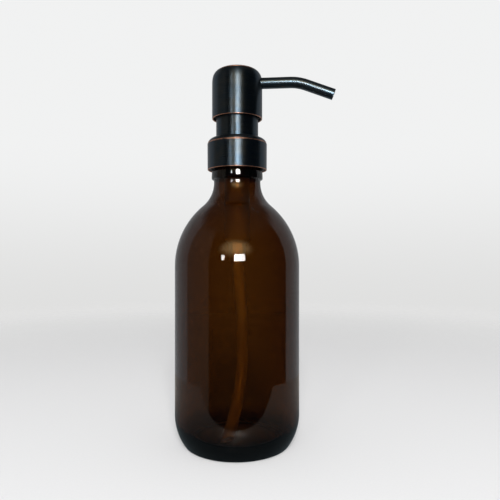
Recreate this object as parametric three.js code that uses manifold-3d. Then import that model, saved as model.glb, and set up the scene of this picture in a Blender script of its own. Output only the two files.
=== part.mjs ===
// Soap pump dispenser: a round amber glass bottle with a screw-on metal lotion pump.
// Millimetres, +Z up. The origin is on the bottle's axis at the level it stands on.
// The spout points along +X.

import * as THREE from "three";
import { mergeVertices } from "three/addons/utils/BufferGeometryUtils.js";
import Module from "manifold-3d";

const wasm = await Module();
wasm.setup();

// ---------- driving dimensions ----------

// Bottle: straight body, one shoulder arc, one neck fillet, moulded neck finish.
const BODY_R = 33.4;
const HEEL_R = 26.7;
const HEEL_Z = 16.5;
const SHOULDER_R = 42;
const SHOULDER_Z = 95.4;
const NECK_R = 12.55;
const NECK_FILLET_R = 16.4;
const GLASS_WALL = 2.4;
const BORE_R = 9.1;
const FLOOR_Z = 4.2;
const INNER_HEEL_R = 11;
const BASE_RING_INNER_R = 20.6;
const BASE_RING_OUTER_R = 26.9;
const BASE_PANEL_Z = 0.8;
const BEAD_BOTTOM_Z = 142;
const BEAD_TOP_Z = 146.4;
const BEAD_R = 13.8;
const FINISH_R = 12.3;
const RIM_Z = 155.8;

// Screw thread: the insert's ridge runs just under the glass ridge.
const THREAD_PITCH = 4.23;
const GLASS_THREAD = { radius: 12.4, ridge: 1.05, z: 149, turns: 1.1, start: 0 };
const INSERT_THREAD_DROP = 1.7;
const INSERT_THREAD = { radius: 13.95, ridge: 0.9, z: 150.4 - INSERT_THREAD_DROP, turns: 0.95 };

// Collar: drawn metal shell over a threaded plastic insert.
const COLLAR_R = 16.05;
const COLLAR_BOTTOM_Z = 146.9;
const COLLAR_SHOULDER_Z = 160.6;
const COLLAR_TOP_Z = 164.15;
const METAL_WALL = 0.6;
const COLLAR_HOLE_R = 11.65;
const INSERT_R = 15.2;
const INSERT_TOP_Z = 160.5;

// Pump barrel, hung from the glass rim by its flange.
const FLANGE_R = 12.2;
const FLANGE_TOP_Z = 158.4;
const FLANGE_BOTTOM_Z = 157.05;
const BARREL_R = 6.9;
const BARREL_BORE_R = 5.8;
const BARREL_BOTTOM_Z = 108;
const CAGE_SHELF_Z = 115.5;
const CAGE_HOLE_R = 1.7;
const TAIL_R = 4.6;
const TAIL_BOTTOM_Z = 98;
const TAIL_BORE_R = 3.3;

// Stem, rod and piston.
const STEM_R = 3.95;
const STEM_BOTTOM_Z = 150.05;
const STEM_TOP_Z = 188.8;
const STEM_BORE_R = 1.6;
const STEM_SOCKET_R = 2.3;
const ROD_FLANGE_Z = 141.6;
const PISTON_TOP_Z = 149.9;
const PISTON_BORE_R = 2.4;
const ROD_R = 2.1;
const ROD_BORE_R = 1.15;
const ROD_FLANGE_R = 4.9;

// Check valves.
const INLET_SEAT_Z = 109.4;
const INLET_SEAT_R = 1.5;
const INLET_CHAMBER_R = 3.2;
const INLET_BALL_R = 2.4;
const OUTLET_SEAT_Z = 181.5;
const OUTLET_CHAMBER_R = 2.75;
const OUTLET_BALL_R = 2;
const SEAT_GAP = 0.1;

// Fixed sleeve that the head telescopes over.
const SLEEVE_R = 11.35;
const SLEEVE_TOP_Z = 177.2;
const GUIDE_FLOOR_Z = 162;
const GUIDE_CUP_R = 7.4;

// Head.
const HEAD_R = 13.55;
const HEAD_BOTTOM_Z = 174.5;
const HEAD_CORNER_R = 6;
const HEAD_CORNER_Z = 195.3;
const HEAD_TOP_Z = 201.75;
const PRESS_PAD_R = 5.5;
const CORE_UNDERSIDE_Z = 187.5;
const CORE_BOSS_R = 6.6;
const CORE_SKIRT_BORE_R = 11.95;
const CHANNEL_R = 1.8;
const BALL_STOP_PIN_R = 0.7;

// Spout: straight out of the head, one bend, then straight down to the tip.
const SPOUT_Z = 193.6;
const SPOUT_R = 2.95;
const SPOUT_WALL = 0.5;
const SPOUT_ROOT_X = 6.3;
const SPOUT_BEND_X = 28.5;
const SPOUT_BEND_R = 24;
const SPOUT_BEND_TURN = 21;
const SPOUT_TIP_X = 51.7;
const LINER_R = 2.35;
const LINER_WALL = 0.65;
const LINER_RECESS = 0.8;

// Dip tube: straight in the barrel's tail, then a slack curve to the foot of the bottle.
const DIP_R = 3.2;
const DIP_WALL = 0.8;
const DIP_ROUTE = [
  [0, 0, 108.1],
  [0, 0, 102],
  [0.1, 0, 97],
  [1.2, 0.4, 85],
  [2.5, 0.8, 65],
  [2.6, 0.4, 44],
  [1.5, -3.2, 29],
  [-0.6, -11.8, 16],
  [-2.3, -24.6, 7.8],
];

// Return spring.
const SPRING = { radius: 4.4, wire: 0.45, bottom: 117.2, top: 141.1, turns: 7.5 };

// Facets round a turned piece.
const COARSE = 24;
const FINE = 32;

// ---------- materials ----------

const glass = new THREE.MeshStandardMaterial({
  color: 0x4a2408,
  roughness: 0.05,
  metalness: 0,
  transparent: true,
  opacity: 0.5,
});
const bronze = new THREE.MeshStandardMaterial({ color: 0x22262b, roughness: 0.42, metalness: 0.9 });
const blackPlastic = new THREE.MeshStandardMaterial({ color: 0x101112, roughness: 0.5 });
const whitePlastic = new THREE.MeshStandardMaterial({ color: 0xe9e7e0, roughness: 0.45 });
const naturalPlastic = new THREE.MeshStandardMaterial({ color: 0xd9d6cb, roughness: 0.35 });
const rubber = new THREE.MeshStandardMaterial({ color: 0x2b2b2b, roughness: 0.85 });
const steel = new THREE.MeshStandardMaterial({ color: 0xb9bcc0, roughness: 0.25, metalness: 1 });

// ---------- helpers ----------

const rad = THREE.MathUtils.degToRad;

// Points on an ellipse in the profile plane, as [radius, z] pairs, between two angles in degrees.
function ellipse(cr, cz, halfWidth, halfHeight, from, to, steps) {
  return Array.from({ length: steps + 1 }, (_, i) => {
    const a = rad(from + ((to - from) * i) / steps);
    return [cr + halfWidth * Math.cos(a), cz + halfHeight * Math.sin(a)];
  });
}

// The same on a circle.
function arc(cr, cz, r, from, to, steps) {
  return ellipse(cr, cz, r, r, from, to, steps);
}

// A turned solid. The profile runs anticlockwise round its material, as [radius, z] pairs.
function turned(profile, segments, closed = true) {
  const points = profile.map(([r, z]) => new THREE.Vector2(r, z));
  if (closed) points.push(points[0].clone());
  return new THREE.LatheGeometry(points, segments).rotateX(Math.PI / 2);
}

// A straight cylinder along +X, used as a drill.
function drillAlongX(r, from, to, z, segments) {
  return new THREE.CylinderGeometry(r, r, to - from, segments)
    .rotateZ(Math.PI / 2)
    .translate((from + to) / 2, 0, z);
}

class Helix extends THREE.Curve {
  constructor(radius, bottom, rise, turns, start) {
    super();
    Object.assign(this, { radius, bottom, rise, turns, start });
  }
  getPoint(t, target = new THREE.Vector3()) {
    const a = this.start + 2 * Math.PI * this.turns * t;
    return target.set(
      this.radius * Math.cos(a),
      this.radius * Math.sin(a),
      this.bottom + this.rise * t,
    );
  }
}

// The spout's centreline, by distance along it.
class SpoutLine extends THREE.Curve {
  constructor(trim = 0) {
    super();
    const turn = rad(SPOUT_BEND_TURN);
    this.first = SPOUT_BEND_X - SPOUT_ROOT_X;
    this.bend = SPOUT_BEND_R * turn;
    const reach = SPOUT_TIP_X - SPOUT_BEND_X - SPOUT_BEND_R * Math.sin(turn);
    this.total = this.first + this.bend + reach / Math.cos(turn) - trim;
  }
  getPoint(t, target = new THREE.Vector3()) {
    const s = t * this.total;
    if (s <= this.first) return target.set(SPOUT_ROOT_X + s, 0, SPOUT_Z);
    const a = Math.min(s - this.first, this.bend) / SPOUT_BEND_R;
    const rest = Math.max(s - this.first - this.bend, 0);
    return target.set(
      SPOUT_BEND_X + SPOUT_BEND_R * Math.sin(a) + rest * Math.cos(a),
      0,
      SPOUT_Z - SPOUT_BEND_R * (1 - Math.cos(a)) - rest * Math.sin(a),
    );
  }
}

// The corners of a regular outline.
function disc(r, sides) {
  const corner = (i) => {
    const a = (2 * Math.PI * i) / sides;
    return new THREE.Vector2(r * Math.cos(a), r * Math.sin(a));
  };
  return Array.from({ length: sides }, (_, i) => corner(i));
}

// A round bar or tube along a curve.
function swept(path, r, sides, steps, wall = 0) {
  const section = new THREE.Shape(disc(r, sides));
  if (wall) section.holes.push(new THREE.Path(disc(r - wall, sides)));
  return new THREE.ExtrudeGeometry(section, { steps, extrudePath: path, bevelEnabled: false });
}

// A rounded screw ridge, as a bar wound on the thread's helix.
function ridge(thread) {
  const start = thread.start ?? helixAngleAt(thread.z);
  const rise = THREAD_PITCH * thread.turns;
  const path = new Helix(thread.radius, thread.z, rise, thread.turns, start);
  return swept(path, thread.ridge, 8, Math.round(COARSE * thread.turns));
}

// The angle at which a ridge lying INSERT_THREAD_DROP under the glass ridge has height z.
function helixAngleAt(z) {
  return (2 * Math.PI * (z + INSERT_THREAD_DROP - GLASS_THREAD.z)) / THREAD_PITCH;
}

// Solids for boolean work.
function solid(geometry) {
  const bare = geometry.index ? geometry.toNonIndexed() : geometry.clone();
  bare.deleteAttribute("normal");
  bare.deleteAttribute("uv");
  const merged = mergeVertices(bare, 1e-4);
  const mesh = new wasm.Mesh({
    numProp: 3,
    vertProperties: merged.attributes.position.array,
    triVerts: new Uint32Array(merged.index.array),
  });
  return new wasm.Manifold(mesh);
}

function geometryOf(manifold) {
  const mesh = manifold.getMesh();
  const geometry = new THREE.BufferGeometry();
  geometry.setAttribute("position", new THREE.BufferAttribute(mesh.vertProperties, 3));
  geometry.setIndex(new THREE.BufferAttribute(mesh.triVerts, 1));
  geometry.computeVertexNormals();
  return geometry;
}

const dispenser = new THREE.Group();

function add(name, geometry, material) {
  const mesh = new THREE.Mesh(geometry, material);
  mesh.name = name;
  dispenser.add(mesh);
  return mesh;
}

// ---------- bottle ----------

function bottle() {
  const shoulderCentre = BODY_R - SHOULDER_R;
  const filletCentre = NECK_R + NECK_FILLET_R;
  const between = SHOULDER_R + NECK_FILLET_R;
  const lean = Math.acos((filletCentre - shoulderCentre) / between);
  const filletZ = SHOULDER_Z + between * Math.sin(lean);
  const turn = THREE.MathUtils.radToDeg(lean);
  const heelCentre = BODY_R - HEEL_R;
  const heelStart = THREE.MathUtils.radToDeg(Math.asin((0.4 - HEEL_Z) / HEEL_R));
  const inner = BODY_R - GLASS_WALL;
  const innerHeelCentre = inner - INNER_HEEL_R;
  const innerHeelZ = FLOOR_Z + INNER_HEEL_R;

  const outside = [
    [0, BASE_PANEL_Z],
    [BASE_RING_INNER_R - 0.8, BASE_PANEL_Z],
    [BASE_RING_INNER_R, 0],
    [BASE_RING_OUTER_R, 0],
    ...arc(heelCentre, HEEL_Z, HEEL_R, heelStart, 0, 5),
    ...arc(shoulderCentre, SHOULDER_Z, SHOULDER_R, 0, turn, 6),
    ...arc(filletCentre, filletZ, NECK_FILLET_R, 180 + turn, 180, 4).slice(1),
    [NECK_R, BEAD_BOTTOM_Z - 0.3],
    [BEAD_R - 0.2, BEAD_BOTTOM_Z],
    [BEAD_R, BEAD_BOTTOM_Z + 0.4],
    [BEAD_R - 0.1, BEAD_TOP_Z - 0.5],
    [BEAD_R - 0.6, BEAD_TOP_Z],
    [FINISH_R, BEAD_TOP_Z + 0.2],
    [FINISH_R, RIM_Z - 0.6],
    [FINISH_R - 0.6, RIM_Z],
  ];
  const inside = [
    [BORE_R + 0.6, RIM_Z],
    [BORE_R, RIM_Z - 0.6],
    [BORE_R, BEAD_BOTTOM_Z + 2],
    ...arc(filletCentre, filletZ, NECK_FILLET_R + GLASS_WALL, 180, 180 + turn, 3),
    ...arc(shoulderCentre, SHOULDER_Z, SHOULDER_R - GLASS_WALL, turn, 0, 5).slice(1),
    ...arc(innerHeelCentre, innerHeelZ, INNER_HEEL_R, 0, -90, 4),
    [innerHeelCentre / 2, FLOOR_Z + 0.3],
    [0, FLOOR_Z + 0.6],
  ];
  const blown = solid(turned([...outside, ...inside], FINE, false));
  return geometryOf(blown.add(solid(ridge(GLASS_THREAD))));
}

// ---------- collar, insert and gasket ----------

function collarShell() {
  const width = COLLAR_R - COLLAR_HOLE_R;
  const height = COLLAR_TOP_Z - COLLAR_SHOULDER_Z;
  const innerWidth = width - METAL_WALL;
  const innerHeight = height - METAL_WALL;
  return turned(
    [
      [COLLAR_R - METAL_WALL + 0.1, COLLAR_BOTTOM_Z],
      [COLLAR_R - 0.15, COLLAR_BOTTOM_Z],
      [COLLAR_R, COLLAR_BOTTOM_Z + 0.4],
      ...ellipse(COLLAR_HOLE_R, COLLAR_SHOULDER_Z, width, height, 0, 90, 5),
      ...ellipse(COLLAR_HOLE_R, COLLAR_SHOULDER_Z, innerWidth, innerHeight, 90, 0, 4),
    ],
    FINE,
  );
}

function collarInsert() {
  const wallR = INSERT_THREAD.radius;
  const bottom = COLLAR_BOTTOM_Z + 0.5;
  const body = turned(
    [
      [wallR, bottom],
      [INSERT_R, bottom],
      [INSERT_R, INSERT_TOP_Z],
      [COLLAR_HOLE_R, INSERT_TOP_Z],
      [COLLAR_HOLE_R, FLANGE_TOP_Z + 0.15],
      [FLANGE_R + 0.4, FLANGE_TOP_Z + 0.15],
      [FLANGE_R + 0.4, RIM_Z + 0.1],
      [wallR, RIM_Z - 0.4],
    ],
    FINE,
  );
  const stock = solid(body).add(solid(ridge(INSERT_THREAD)));
  const outer = solid(turned([[0, 140], [INSERT_R, 140], [INSERT_R, 170], [0, 170]], FINE, false));
  return geometryOf(stock.intersect(outer));
}

function neckGasket() {
  return turned(
    [
      [BORE_R + 0.2, RIM_Z + 0.05],
      [FINISH_R - 0.2, RIM_Z + 0.05],
      [FINISH_R - 0.2, FLANGE_BOTTOM_Z - 0.05],
      [BORE_R + 0.2, FLANGE_BOTTOM_Z - 0.05],
    ],
    COARSE,
  );
}

// ---------- pump barrel and what is fixed in it ----------

function pumpHousing() {
  return turned(
    [
      [BARREL_BORE_R, FLANGE_TOP_Z],
      [BARREL_BORE_R, CAGE_SHELF_Z],
      [INLET_CHAMBER_R, CAGE_SHELF_Z],
      [INLET_CHAMBER_R, INLET_SEAT_Z + 1.2],
      [INLET_SEAT_R, INLET_SEAT_Z],
      [INLET_SEAT_R, INLET_SEAT_Z - 1],
      [TAIL_BORE_R, INLET_SEAT_Z - 1],
      [TAIL_BORE_R, TAIL_BOTTOM_Z],
      [TAIL_R - 0.3, TAIL_BOTTOM_Z],
      [TAIL_R, TAIL_BOTTOM_Z + 0.6],
      [TAIL_R, BARREL_BOTTOM_Z - 0.4],
      [BARREL_R - 1, BARREL_BOTTOM_Z],
      [BARREL_R, BARREL_BOTTOM_Z + 1.4],
      [BARREL_R, FLANGE_BOTTOM_Z - 0.6],
      [BARREL_R + 0.6, FLANGE_BOTTOM_Z],
      [FLANGE_R, FLANGE_BOTTOM_Z],
      [FLANGE_R, FLANGE_TOP_Z],
    ],
    COARSE,
  );
}

function ballCage() {
  const floor = CAGE_SHELF_Z + 0.05;
  return turned(
    [
      [CAGE_HOLE_R, floor],
      [BARREL_BORE_R - 0.2, floor],
      [BARREL_BORE_R - 0.2, floor + 1.1],
      [CAGE_HOLE_R, floor + 1.1],
    ],
    COARSE,
  );
}

// Snap-in guide: the stem runs in it, the sleeve is pressed over it, its skirt stops the piston.
function stemGuide() {
  const outer = SLEEVE_R - METAL_WALL - 0.05;
  const bore = STEM_R + 0.25;
  const skirt = BARREL_BORE_R - 0.15;
  return turned(
    [
      [bore, PISTON_TOP_Z + 0.3],
      [skirt, PISTON_TOP_Z + 0.3],
      [skirt, FLANGE_TOP_Z + 0.05],
      [outer, FLANGE_TOP_Z + 0.05],
      [outer, SLEEVE_TOP_Z - 0.3],
      [GUIDE_CUP_R + 0.2, SLEEVE_TOP_Z - 0.3],
      [GUIDE_CUP_R, SLEEVE_TOP_Z - 0.6],
      [GUIDE_CUP_R, GUIDE_FLOOR_Z],
      [bore, GUIDE_FLOOR_Z],
    ],
    COARSE,
  );
}

function sleeve() {
  return turned(
    [
      [SLEEVE_R - METAL_WALL + 0.05, FLANGE_TOP_Z + 0.05],
      [SLEEVE_R, FLANGE_TOP_Z + 0.05],
      [SLEEVE_R, SLEEVE_TOP_Z - 0.2],
      [SLEEVE_R - 0.15, SLEEVE_TOP_Z],
      [SLEEVE_R - METAL_WALL + 0.05, SLEEVE_TOP_Z],
    ],
    FINE,
  );
}

function returnSpring() {
  const rise = SPRING.top - SPRING.bottom;
  const path = new Helix(SPRING.radius, SPRING.bottom, rise, SPRING.turns, 0);
  return swept(path, SPRING.wire, 6, 10 * SPRING.turns);
}

function dipTube() {
  const route = DIP_ROUTE.map((p) => new THREE.Vector3(...p));
  const path = new THREE.CatmullRomCurve3(route, false, "centripetal");
  return swept(path, DIP_R, 10, 24, DIP_WALL);
}

// ---------- moving pump parts ----------

function piston() {
  const lip = BARREL_BORE_R - 0.12;
  const bottom = ROD_FLANGE_Z + 1.3;
  return turned(
    [
      [PISTON_BORE_R, bottom + 1],
      [lip - 0.9, bottom],
      [lip, bottom],
      [lip - 0.5, bottom + 2],
      [lip - 0.5, PISTON_TOP_Z - 2],
      [lip, PISTON_TOP_Z],
      [lip - 0.9, PISTON_TOP_Z],
      [PISTON_BORE_R, PISTON_TOP_Z - 1],
    ],
    COARSE,
  );
}

function pistonRod() {
  return turned(
    [
      [ROD_BORE_R, ROD_FLANGE_Z - 2.8],
      [ROD_FLANGE_R - 1.8, ROD_FLANGE_Z - 2.8],
      [ROD_FLANGE_R - 1.4, ROD_FLANGE_Z],
      [ROD_FLANGE_R, ROD_FLANGE_Z],
      [ROD_FLANGE_R, ROD_FLANGE_Z + 1.1],
      [ROD_R, ROD_FLANGE_Z + 1.1],
      [ROD_R, STEM_BOTTOM_Z + 9.6],
      [ROD_BORE_R, STEM_BOTTOM_Z + 9.6],
    ],
    COARSE,
  );
}

function stem() {
  return turned(
    [
      [STEM_SOCKET_R, STEM_BOTTOM_Z],
      [STEM_R, STEM_BOTTOM_Z],
      [STEM_R, STEM_TOP_Z],
      [OUTLET_CHAMBER_R, STEM_TOP_Z],
      [OUTLET_CHAMBER_R, OUTLET_SEAT_Z + 0.9],
      [STEM_BORE_R, OUTLET_SEAT_Z],
      [STEM_BORE_R, STEM_BOTTOM_Z + 10.2],
      [STEM_SOCKET_R, STEM_BOTTOM_Z + 9.9],
    ],
    COARSE,
  );
}

// A check ball resting on the edge of its seat's bore.
function checkBall(r, seatR, seatZ) {
  const z = seatZ + Math.sqrt(r * r - seatR * seatR) + SEAT_GAP;
  return new THREE.SphereGeometry(r, 16, 10).rotateX(Math.PI / 2).translate(0, 0, z);
}

// ---------- head ----------

function actuatorShell() {
  const centre = HEAD_R - HEAD_CORNER_R;
  const innerCorner = HEAD_CORNER_R - METAL_WALL;
  const cup = turned(
    [
      [0, HEAD_TOP_Z - METAL_WALL],
      [centre, HEAD_CORNER_Z + innerCorner],
      ...arc(centre, HEAD_CORNER_Z, innerCorner, 80, 0, 5),
      [HEAD_R - METAL_WALL, HEAD_BOTTOM_Z + 0.4],
      [HEAD_R - METAL_WALL + 0.1, HEAD_BOTTOM_Z],
      [HEAD_R - 0.15, HEAD_BOTTOM_Z],
      [HEAD_R, HEAD_BOTTOM_Z + 0.4],
      ...arc(centre, HEAD_CORNER_Z, HEAD_CORNER_R, 0, 84, 7),
      [PRESS_PAD_R, HEAD_TOP_Z],
      [0, HEAD_TOP_Z],
    ],
    FINE,
    false,
  );
  const hole = drillAlongX(SPOUT_R + 0.15, 8, HEAD_R + 2, SPOUT_Z, 20);
  return geometryOf(solid(cup).subtract(solid(hole)));
}

// Moulded core: fills the shell's crown, socket for the stem, cross channel to the spout,
// and a pin that stops the outlet ball.
function actuatorCore() {
  const gap = 0.1;
  const centre = HEAD_R - HEAD_CORNER_R;
  const corner = HEAD_CORNER_R - METAL_WALL - gap;
  const skirtR = HEAD_R - METAL_WALL - gap;
  const roof = SPOUT_Z + CHANNEL_R;
  const socketR = STEM_R + 0.1;
  const body = turned(
    [
      [0, roof],
      [CHANNEL_R, roof],
      [CHANNEL_R, STEM_TOP_Z + 0.1],
      [socketR, STEM_TOP_Z + 0.1],
      [socketR, SLEEVE_TOP_Z + 1.8],
      [CORE_BOSS_R, SLEEVE_TOP_Z + 1.8],
      [CORE_BOSS_R, CORE_UNDERSIDE_Z],
      [CORE_SKIRT_BORE_R, CORE_UNDERSIDE_Z],
      [CORE_SKIRT_BORE_R, HEAD_BOTTOM_Z + 1.5],
      [skirtR, HEAD_BOTTOM_Z + 1.5],
      ...arc(centre, HEAD_CORNER_Z, corner, 0, 90, 5),
      [0, HEAD_CORNER_Z + corner],
    ],
    COARSE,
    false,
  );
  const channel = drillAlongX(CHANNEL_R, -1, SPOUT_ROOT_X, SPOUT_Z, 12);
  const socket = drillAlongX(SPOUT_R + gap, SPOUT_ROOT_X - 0.3, HEAD_R, SPOUT_Z, 20);
  const pinTop = roof + 0.5;
  const pinBottom = OUTLET_SEAT_Z + 5.1;
  const pin = new THREE.CylinderGeometry(BALL_STOP_PIN_R, BALL_STOP_PIN_R, pinTop - pinBottom, 10)
    .rotateX(Math.PI / 2)
    .translate(0, 0, (pinTop + pinBottom) / 2);
  const drilled = solid(body).subtract(solid(channel)).subtract(solid(socket));
  return geometryOf(drilled.add(solid(pin)));
}

function spoutTube() {
  return swept(new SpoutLine(), SPOUT_R, 14, 15, SPOUT_WALL);
}

function spoutLiner() {
  return swept(new SpoutLine(LINER_RECESS), LINER_R, 10, 15, LINER_WALL);
}

// ---------- assembly ----------

add("bottle", bottle(), glass);

add("collar_shell", collarShell(), bronze);
add("collar_insert", collarInsert(), blackPlastic);

add("neck_gasket", neckGasket(), rubber);
add("pump_housing", pumpHousing(), naturalPlastic);
add("ball_cage", ballCage(), whitePlastic);
add("stem_guide", stemGuide(), whitePlastic);
add("sleeve", sleeve(), bronze);
add("return_spring", returnSpring(), steel);
add("dip_tube", dipTube(), naturalPlastic);
add("inlet_ball", checkBall(INLET_BALL_R, INLET_SEAT_R, INLET_SEAT_Z), steel);

add("piston", piston(), whitePlastic);

add("piston_rod", pistonRod(), whitePlastic);
add("stem", stem(), whitePlastic);
add("outlet_ball", checkBall(OUTLET_BALL_R, STEM_BORE_R, OUTLET_SEAT_Z), steel);
add("actuator_core", actuatorCore(), blackPlastic);
add("actuator_shell", actuatorShell(), bronze);
add("spout_tube", spoutTube(), bronze);
add("spout_liner", spoutLiner(), whitePlastic);

export default dispenser;
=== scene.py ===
"""Soap pump dispenser: the finished surfaces, materials, studio and camera, built round the CAD frame.

Lengths in this script are millimetres, and MM turns them into metres where a mesh or an object is made.
The bottle stands on z = 0 with its axis on the z axis, and the spout points along +x.
"""

import math

import bpy
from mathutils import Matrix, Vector


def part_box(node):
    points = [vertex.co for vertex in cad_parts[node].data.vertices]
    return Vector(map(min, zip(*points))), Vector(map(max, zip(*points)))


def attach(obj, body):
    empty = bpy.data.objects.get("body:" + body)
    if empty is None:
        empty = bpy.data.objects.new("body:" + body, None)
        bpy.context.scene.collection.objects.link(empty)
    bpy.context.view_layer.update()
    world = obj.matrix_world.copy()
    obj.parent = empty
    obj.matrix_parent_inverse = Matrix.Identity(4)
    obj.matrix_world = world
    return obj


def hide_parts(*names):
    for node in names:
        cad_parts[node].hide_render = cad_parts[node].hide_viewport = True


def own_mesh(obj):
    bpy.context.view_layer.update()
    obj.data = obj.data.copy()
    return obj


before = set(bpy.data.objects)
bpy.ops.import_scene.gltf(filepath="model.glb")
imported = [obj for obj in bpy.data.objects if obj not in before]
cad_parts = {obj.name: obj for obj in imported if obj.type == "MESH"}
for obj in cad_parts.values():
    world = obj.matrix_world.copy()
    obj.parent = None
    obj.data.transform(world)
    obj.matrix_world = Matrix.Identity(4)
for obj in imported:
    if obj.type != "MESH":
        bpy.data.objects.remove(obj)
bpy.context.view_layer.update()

MM = 0.001
SIDES = 192  # facets round a turned piece
FILLET = 0.15  # edge radius of a moulded or drawn part, where a profile doesn't give one
GUARD = 0.2  # how far past an edge radius the rubbed metal ends
SHARP_ANGLE = math.radians(35)


# ---------- sizes from the frame ----------


def span(node):
    """A turned CAD node's radius, lowest z and highest z."""
    low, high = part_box(node)
    return high.y / MM, low.z / MM, high.z / MM


BODY_R, _, RIM_Z = span("bottle")
COLLAR_R, COLLAR_BOTTOM, COLLAR_TOP = span("collar_shell")
SLEEVE_R, SLEEVE_BOTTOM, SLEEVE_TOP = span("sleeve")
HEAD_R, HEAD_BOTTOM, HEAD_TOP = span("actuator_shell")
_, SPRING_LOW, SPRING_HIGH = span("return_spring")

# The bottle's curves.
HEEL_R = 26.7
HEEL_Z = 16.5
SHOULDER_R = 42
SHOULDER_Z = 95.4
NECK_R = 12.55
NECK_FILLET_R = 16.4
GLASS_WALL = 2.4
BORE_R = 9.1
FLOOR_Z = 4.2
INNER_HEEL_R = 11
BEAD_R = 13.8
BEAD_BOTTOM = 142
BEAD_TOP = 146.4
FINISH_R = 12.3

# The screw thread.
PITCH = 4.23
GLASS_THREAD = {"z": 149, "first": 0, "last": 1.1, "height": 1.1, "half_width": 1.05}
INSERT_THREAD = {"z": 147.3, "first": 0.33, "last": 1.28, "height": 0.85, "half_width": 0.9}
INSERT_ROOT_R = 13.95

# The drawn metal shells. The collar's crown is a quarter of an ellipse, from its wall in to its hole.
METAL_WALL = 0.6
COLLAR_HOLE_R = 11.65
COLLAR_CROWN_Z = 160.6
HEAD_CROWN_Z = 191.83
HEAD_CROWN_POWER = 2 / 3.48
HEAD_RUBBED_Z = 199.9

# The barrel, from its mouth down to the socket that holds the dip tube.
BARREL_R = 6.9
BARREL_BORE_R = 5.8
BARREL_FLOOR_Z = 115.5
FLANGE_BOTTOM_Z = 157.05
INLET_CHAMBER_R = 3.2
INLET_SEAT_R = 1.5
INLET_SEAT_Z = 109.4
DIP_SOCKET_R = 3.3
DIP_SOCKET_TOP_Z = 108.4

# The guide in the barrel's mouth.
GUIDE_BORE_R = 4.2
GUIDE_SKIRT_R = 5.65
GUIDE_LEDGE_Z = 158.45
GUIDE_CUP_R = 7.4
GUIDE_CUP_FLOOR_Z = 162

# The moving parts of the pump.
SPRING_WIRE_R = 0.45
SPRING_TURNS = 7.5
CAGE_HOLE_R = 1.7
PISTON_BORE_R = 2.4
ROD_BORE_R = 1.15
ROD_R = 2.1
STEM_SOCKET_R = 2.3
STEM_BORE_R = 1.6
OUTLET_CHAMBER_R = 2.75
OUTLET_SEAT_Z = 181.5

# The dip tube's centreline, from the barrel's socket to its foot.
DIP_R = 3.2
DIP_WALL = 0.8
DIP_SLANT = 0.75
DIP_ROUTE = [
    (0, 0, 108.1),
    (0, 0, 102),
    (0.1, 0, 97),
    (1.2, 0.4, 85),
    (2.5, 0.8, 65),
    (2.6, 0.4, 44),
    (1.5, -3.2, 29),
    (-0.6, -11.8, 16),
    (-2.3, -24.6, 7.8),
]

# The spout's centreline: straight out of the head, then one bend down.
SPOUT_Z = 193.6
SPOUT_R = 2.95
SPOUT_WALL = 0.5
SPOUT_ROOT_X = 6.3
SPOUT_BEND_X = 28.5
SPOUT_BEND_R = 24
SPOUT_BEND_TURN = math.radians(21)
SPOUT_TIP_X = 51.7
LINER_R = 2.35
LINER_WALL = 0.65

# Two tones for each patina, in linear colour.
BLUE_BLACK = (0.037, 0.06, 0.084, 1), (0.052, 0.067, 0.079, 1)
SLATE = (0.088, 0.125, 0.155, 1), (0.105, 0.13, 0.15, 1)
BRUSH_GREY = (0.088, 0.096, 0.102, 1)
COPPER = (0.8, 0.44, 0.31, 1)

# The camera, in millimetres from the bottle's axis and the floor.
CAMERA_AZIMUTH = math.radians(6)
CAMERA_DISTANCE = 276.1
CAMERA_RIGHT = 6.93
CAMERA_HEIGHT = 103.9
FOCAL_LENGTH = 36.72
TOWARDS_CAMERA = Vector((math.sin(CAMERA_AZIMUTH), -math.cos(CAMERA_AZIMUTH), 0))
RIGHT = Vector((math.cos(CAMERA_AZIMUTH), math.sin(CAMERA_AZIMUTH), 0))
LAMP_AIM = Vector((0, 0, 0.1))  # the point that every lamp faces, in metres


# ---------- outlines ----------


def arc(cr, cz, width, height, start, end, steps):
    """Points [radius, z] on an ellipse round (cr, cz), between two angles in degrees."""
    angles = [math.radians(start + (end - start) * i / steps) for i in range(steps + 1)]
    return [(cr + width * math.cos(a), cz + height * math.sin(a)) for a in angles]


def rounded(profile, radius=FILLET, steps=4, looped=True):
    """The same outline with its sharp corners turned into small arcs."""
    points = [Vector(p) for p in profile]
    result = []
    for i, p in enumerate(points):
        if not looped and i in (0, len(points) - 1):
            result.append(tuple(p))
            continue
        before = points[i - 1] - p
        after = points[(i + 1) % len(points)] - p
        corner = before.angle(after)
        if corner > math.radians(155):
            result.append(tuple(p))
            continue
        reach = min(radius / math.tan(corner / 2), 0.45 * before.length, 0.45 * after.length)
        bend = reach * math.tan(corner / 2)
        centre = p + (before.normalized() + after.normalized()).normalized() * bend / math.sin(corner / 2)
        start = p + before.normalized() * reach - centre
        end = p + after.normalized() * reach - centre
        if before.length > 1.5:
            result.append(tuple(p + before.normalized() * (reach + GUARD)))
        for k in range(steps + 1):
            result.append(tuple(centre + bend * start.slerp(end, k / steps)))
        if after.length > 1.5:
            result.append(tuple(p + after.normalized() * (reach + GUARD)))
    return result


# ---------- meshes ----------


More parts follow.
